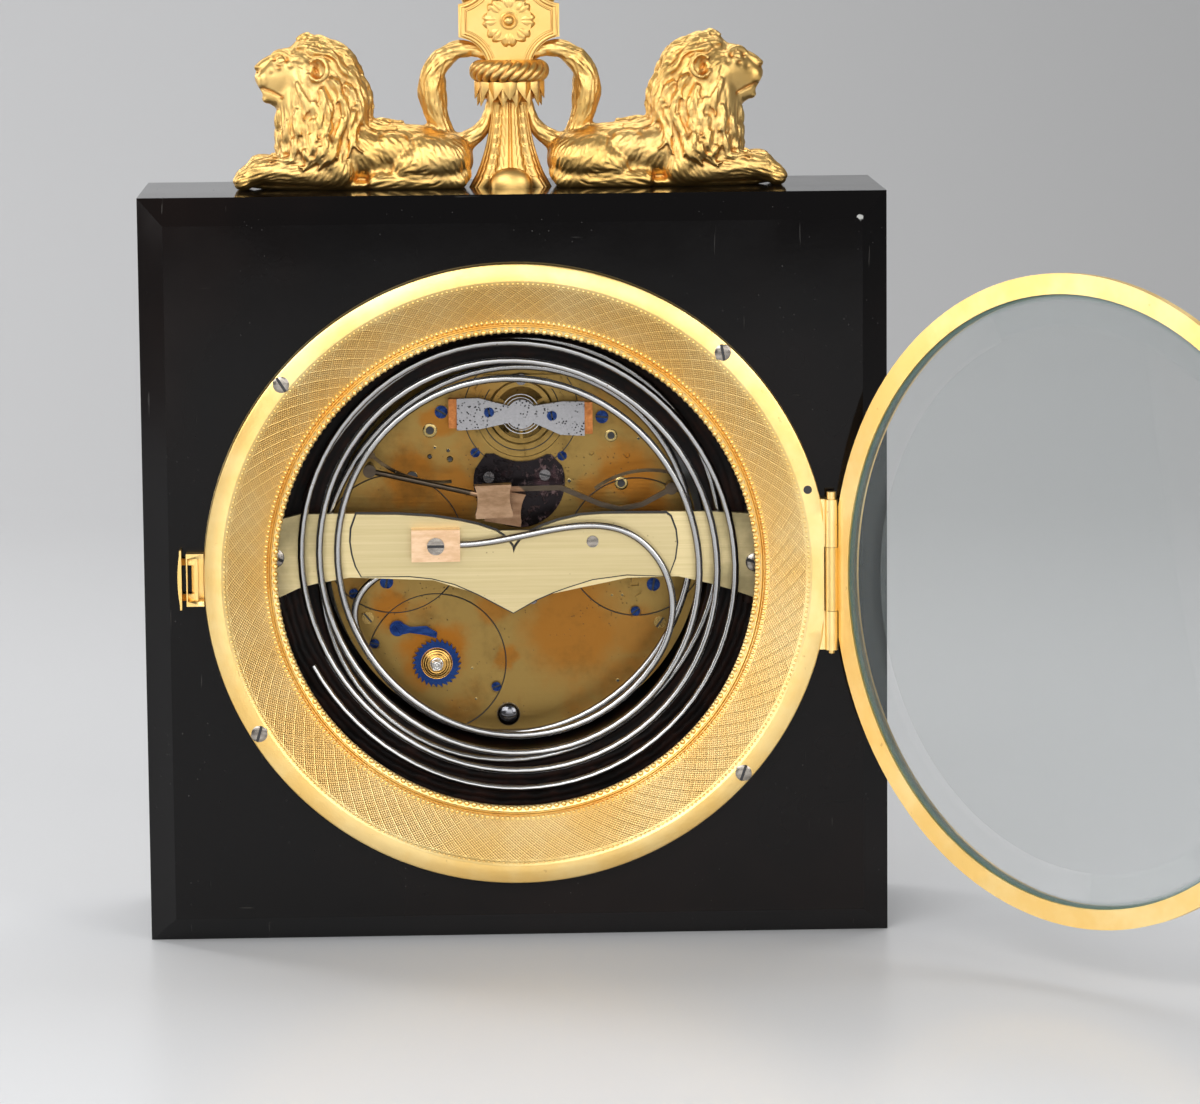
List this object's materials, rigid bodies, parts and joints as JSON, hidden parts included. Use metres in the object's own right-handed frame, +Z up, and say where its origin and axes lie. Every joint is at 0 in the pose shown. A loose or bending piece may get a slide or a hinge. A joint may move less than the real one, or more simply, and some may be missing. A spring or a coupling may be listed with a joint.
{
  "type": "travel clock",
  "caption": "Black cased travel clock with glazed doors on both faces, gilt lion and ring handle, wire gongs with hammers, plated movement, dial and hands.",
  "frame": {"origin": "middle of the face that the case stands on", "axes": "+Z up; the dial faces +Y and the gongs face -Y"},
  "size_m": [0.2549, 0.186, 0.2304],
  "materials": {
    "black_lacquer": "black lacquer, polished, with fine scratches",
    "dark_wood": "dark stain, matt",
    "gilt": "gilt, softly polished",
    "brass": "brushed, patinated",
    "pink_brass": "polished",
    "steel": "brushed",
    "blued_steel": "heat blued, polished",
    "black_steel": "pitted",
    "copper": "tarnished",
    "hammer_bronze": "brushed",
    "enamel": "gloss enamel",
    "glass": "clear, bevelled at the rim"
  },
  "bodies": {
    "case": {"case_top": "black_lacquer", "case_base": "black_lacquer", "case_sides": "black_lacquer", "rear_board": "black_lacquer", "front_board": "black_lacquer", "movement_well": "dark_wood", "lion_left": "gilt", "lion_right": "gilt", "ornament_shaft": "gilt", "rope_collar": "gilt", "rosette_plaque": "gilt", "ornament_nuts": "steel", "rear_bezel": "gilt", "front_bezel": "gilt", "wood_screws": "steel", "hinge_pins": "gilt", "catch_block": "gilt", "gong_strap": "brass", "gong_plate": "brass", "gong_blocks": "pink_brass", "gong_screws": "steel", "gong_a": "steel", "gong_b": "steel", "rear_plate": "brass", "front_plate": "brass", "pillars": "brass", "plate_screws": "blued_steel", "barrel_bridges": "brass", "hammer_plate": "black_steel", "hairspring": "steel", "balance_cock": "steel", "cock_feet": "copper", "hammer_springs": "steel", "dial": "enamel"},
    "rear_door": {"rear_door_ring": "gilt", "rear_door_glass": "glass"},
    "front_door": {"front_door_ring": "gilt", "front_door_glass": "glass"},
    "catch_button": {"catch_button": "gilt"},
    "carrying_ring": {"carrying_ring": "gilt"},
    "barrel": {"barrel": "brass"},
    "winding_arbor": {"winding_arbor": "steel"},
    "click": {"click": "blued_steel"},
    "intermediate_wheel": {"intermediate_wheel": "brass"},
    "centre_arbor": {"centre_arbor": "steel", "minute_hand": "blued_steel"},
    "third_wheel": {"third_wheel": "brass"},
    "fourth_wheel": {"fourth_wheel": "brass"},
    "escape_wheel": {"escape_wheel": "brass"},
    "balance": {"balance": "brass"},
    "regulator_ring": {"regulator_ring": "brass"},
    "strike_barrel": {"strike_barrel": "brass"},
    "pin_wheel": {"pin_wheel": "brass"},
    "warning_wheel": {"warning_wheel": "brass"},
    "fly": {"fly": "brass"},
    "hammer_a": {"hammer_a": "hammer_bronze"},
    "hammer_b": {"hammer_b": "hammer_bronze"},
    "motion_wheel": {"motion_wheel": "brass"},
    "hour_hand": {"hour_wheel": "brass", "hour_hand": "blued_steel"}
  },
  "joints": [
    {"name": "rear_door_swing", "type": "hinge", "parent": "case", "child": "rear_door", "pos_m": [0.0715, -0.0357, 0.08435], "axis": [0, 0, 1], "range_deg": [-132, 3]},
    {"name": "front_door_swing", "type": "hinge", "parent": "case", "child": "front_door", "pos_m": [0.0715, 0.0357, 0.08435], "axis": [0, 0, 1], "range_deg": [-135, 0]},
    {"name": "catch_press", "type": "slide", "parent": "case", "child": "catch_button", "axis": [1, 0, 0], "range_m": [0, 0.001], "stiffness_N_per_m": 300, "springref_m": -0.0005},
    {"name": "ring_swing", "type": "hinge", "parent": "case", "child": "carrying_ring", "pos_m": [0, 0, 0.226], "axis": [1, 0, 0], "range_deg": [0, 310]},
    {"name": "fourth_wheel_turn", "type": "hinge", "parent": "case", "child": "fourth_wheel", "pos_m": [0.00059, 0, 0.10495], "axis": [0, 1, 0], "continuous": true},
    {"name": "third_wheel_turn", "type": "hinge", "parent": "case", "child": "third_wheel", "pos_m": [-0.00189, 0, 0.0957], "axis": [0, 1, 0], "continuous": true},
    {"name": "centre_turn", "type": "hinge", "parent": "case", "child": "centre_arbor", "pos_m": [0, 0, 0.085], "axis": [0, 1, 0], "continuous": true},
    {"name": "intermediate_turn", "type": "hinge", "parent": "case", "child": "intermediate_wheel", "pos_m": [-0.01077, 0, 0.07282], "axis": [0, 1, 0], "continuous": true},
    {"name": "barrel_turn", "type": "hinge", "parent": "case", "child": "barrel", "pos_m": [-0.0185, 0, 0.0592], "axis": [0, 1, 0], "continuous": true},
    {"name": "escape_turn", "type": "hinge", "parent": "case", "child": "escape_wheel", "pos_m": [0.00443, 0, 0.11355], "axis": [0, 1, 0], "continuous": true},
    {"name": "motion_turn", "type": "hinge", "parent": "case", "child": "motion_wheel", "pos_m": [0.00483, 0, 0.07663], "axis": [0, 1, 0], "continuous": true},
    {"name": "hour_hand_turn", "type": "hinge", "parent": "case", "child": "hour_hand", "pos_m": [0, 0, 0.085], "axis": [0, 1, 0], "continuous": true},
    {"name": "balance_swing", "type": "hinge", "parent": "case", "child": "balance", "pos_m": [0.0019, 0, 0.1181], "axis": [0, 1, 0], "range_deg": [-200, 200], "stiffness_Nm_per_rad": 0.000005},
    {"name": "regulator_turn", "type": "hinge", "parent": "case", "child": "regulator_ring", "pos_m": [0.0019, 0, 0.1181], "axis": [0, 1, 0], "range_deg": [-20, 20]},
    {"name": "winding_turn", "type": "hinge", "parent": "case", "child": "winding_arbor", "pos_m": [-0.0185, 0, 0.0592], "axis": [0, 1, 0], "continuous": true},
    {"name": "click_lift", "type": "hinge", "parent": "case", "child": "click", "pos_m": [-0.0276, 0, 0.0676], "axis": [0, 1, 0], "range_deg": [-15, 0], "stiffness_Nm_per_rad": 0.002, "springref_deg": 11.46},
    {"name": "warning_turn", "type": "hinge", "parent": "case", "child": "warning_wheel", "pos_m": [0.02662, 0, 0.10762], "axis": [0, 1, 0], "continuous": true},
    {"name": "pin_wheel_turn", "type": "hinge", "parent": "case", "child": "pin_wheel", "pos_m": [0.02137, 0, 0.09852], "axis": [0, 1, 0], "continuous": true},
    {"name": "strike_barrel_turn", "type": "hinge", "parent": "case", "child": "strike_barrel", "pos_m": [0.0286, 0, 0.086], "axis": [0, 1, 0], "continuous": true},
    {"name": "fly_turn", "type": "hinge", "parent": "case", "child": "fly", "pos_m": [0.01826, 0, 0.1082], "axis": [0, 1, 0], "continuous": true},
    {"name": "hammer_a_swing", "type": "hinge", "parent": "case", "child": "hammer_a", "pos_m": [-0.0335, 0, 0.106], "axis": [0, 1, 0], "range_deg": [-10, 8], "stiffness_Nm_per_rad": 0.02, "springref_deg": -2.01},
    {"name": "hammer_b_swing", "type": "hinge", "parent": "case", "child": "hammer_b", "pos_m": [0.0365, 0, 0.1008], "axis": [0, 1, 0], "range_deg": [-4, 10], "stiffness_Nm_per_rad": 0.02, "springref_deg": 2.01}
  ],
  "couplings": [
    {"joint": "escape_turn", "follows": "fourth_wheel_turn", "ratio": -8},
    {"joint": "third_wheel_turn", "follows": "fourth_wheel_turn", "ratio": -0.13333},
    {"joint": "centre_turn", "follows": "fourth_wheel_turn", "ratio": 0.016667},
    {"joint": "intermediate_turn", "follows": "fourth_wheel_turn", "ratio": -0.0033333},
    {"joint": "barrel_turn", "follows": "fourth_wheel_turn", "ratio": 0.0011494},
    {"joint": "motion_turn", "follows": "fourth_wheel_turn", "ratio": -0.0055556},
    {"joint": "hour_hand_turn", "follows": "fourth_wheel_turn", "ratio": 0.0013889},
    {"joint": "pin_wheel_turn", "follows": "warning_turn", "ratio": -0.125},
    {"joint": "strike_barrel_turn", "follows": "warning_turn", "ratio": 0.019231},
    {"joint": "fly_turn", "follows": "warning_turn", "ratio": -7}
  ]
}
